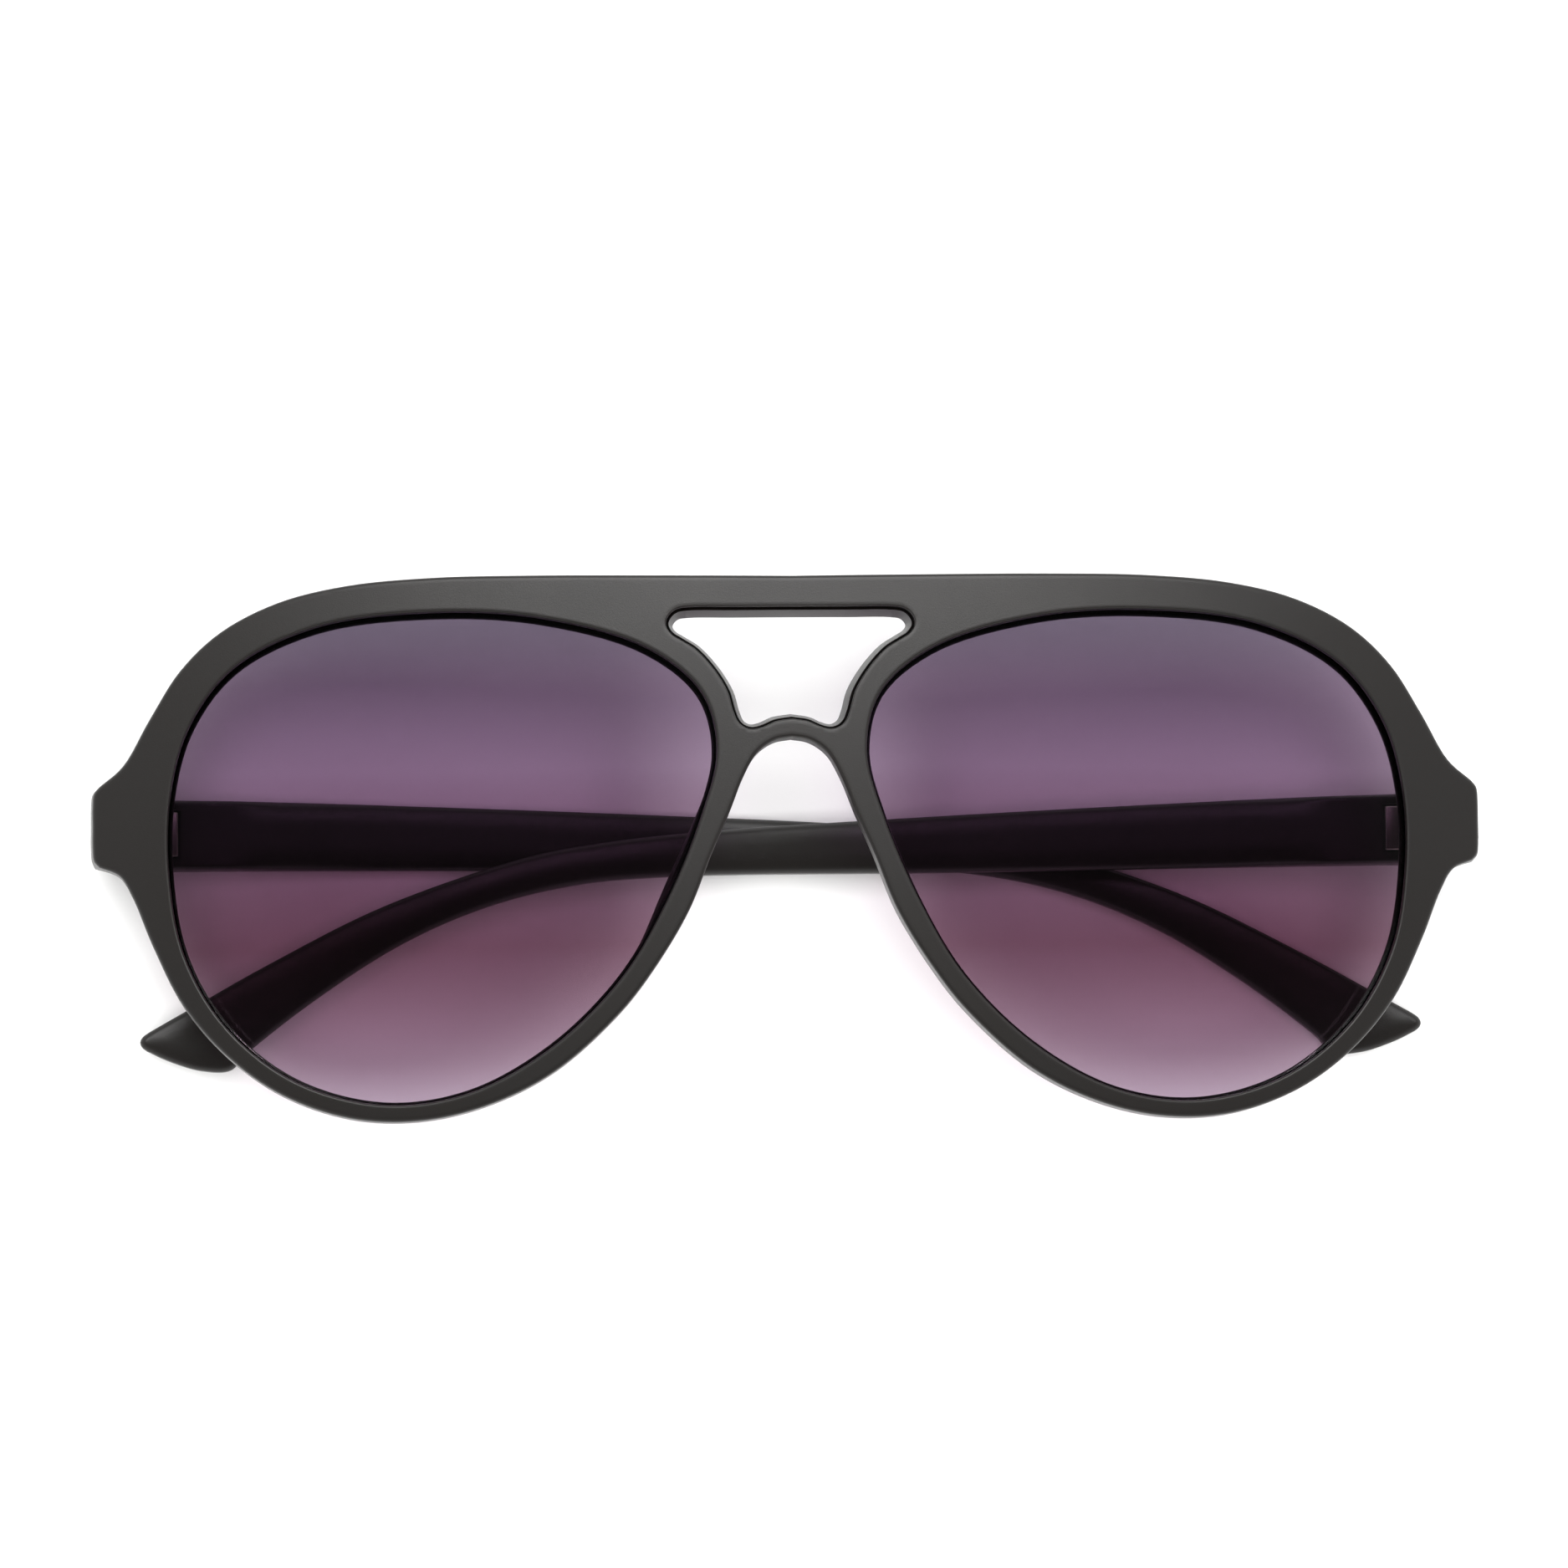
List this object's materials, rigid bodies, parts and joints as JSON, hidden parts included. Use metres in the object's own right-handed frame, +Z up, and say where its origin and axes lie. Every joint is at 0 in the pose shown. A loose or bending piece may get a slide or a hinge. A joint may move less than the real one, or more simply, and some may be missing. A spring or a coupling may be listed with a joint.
{
  "type": "aviator sunglasses",
  "caption": "Full-rim double-bridge aviator sunglasses with smoke gradient lenses and folding temples, folded and lying face up.",
  "frame": {"origin": "under the middle of the folded sunglasses, on the surface that they lie on", "axes": "+X towards the hinge of the wearer's left temple, along the width; +Y towards the brow; +Z up, out of the front of the lenses"},
  "size_m": [0.145, 0.0563, 0.0274],
  "materials": {
    "frame_plastic": "soft-touch matt black",
    "smoke_lens": "polished tinted polycarbonate, darker at the brow",
    "hinge_metal": "tumbled nickel silver"
  },
  "bodies": {
    "front": {"front_frame": "frame_plastic", "lens_left": "smoke_lens", "lens_right": "smoke_lens", "front_hinge_left": "hinge_metal", "front_hinge_right": "hinge_metal", "hinge_screw_left": "hinge_metal", "hinge_screw_right": "hinge_metal"},
    "temple_left": {"temple_left": "frame_plastic", "temple_hinge_left": "hinge_metal"},
    "temple_right": {"temple_right": "frame_plastic", "temple_hinge_right": "hinge_metal"}
  },
  "joints": [
    {"name": "temple_left_fold", "type": "hinge", "parent": "front", "child": "temple_left", "pos_m": [0.06698, 0.00305, 0.0085], "axis": [0, -1, 0], "range_deg": [0, 91.2]},
    {"name": "temple_right_fold", "type": "hinge", "parent": "front", "child": "temple_right", "pos_m": [-0.06698, 0.00305, 0.0055], "axis": [0, 1, 0], "range_deg": [0, 88.6]}
  ]
}
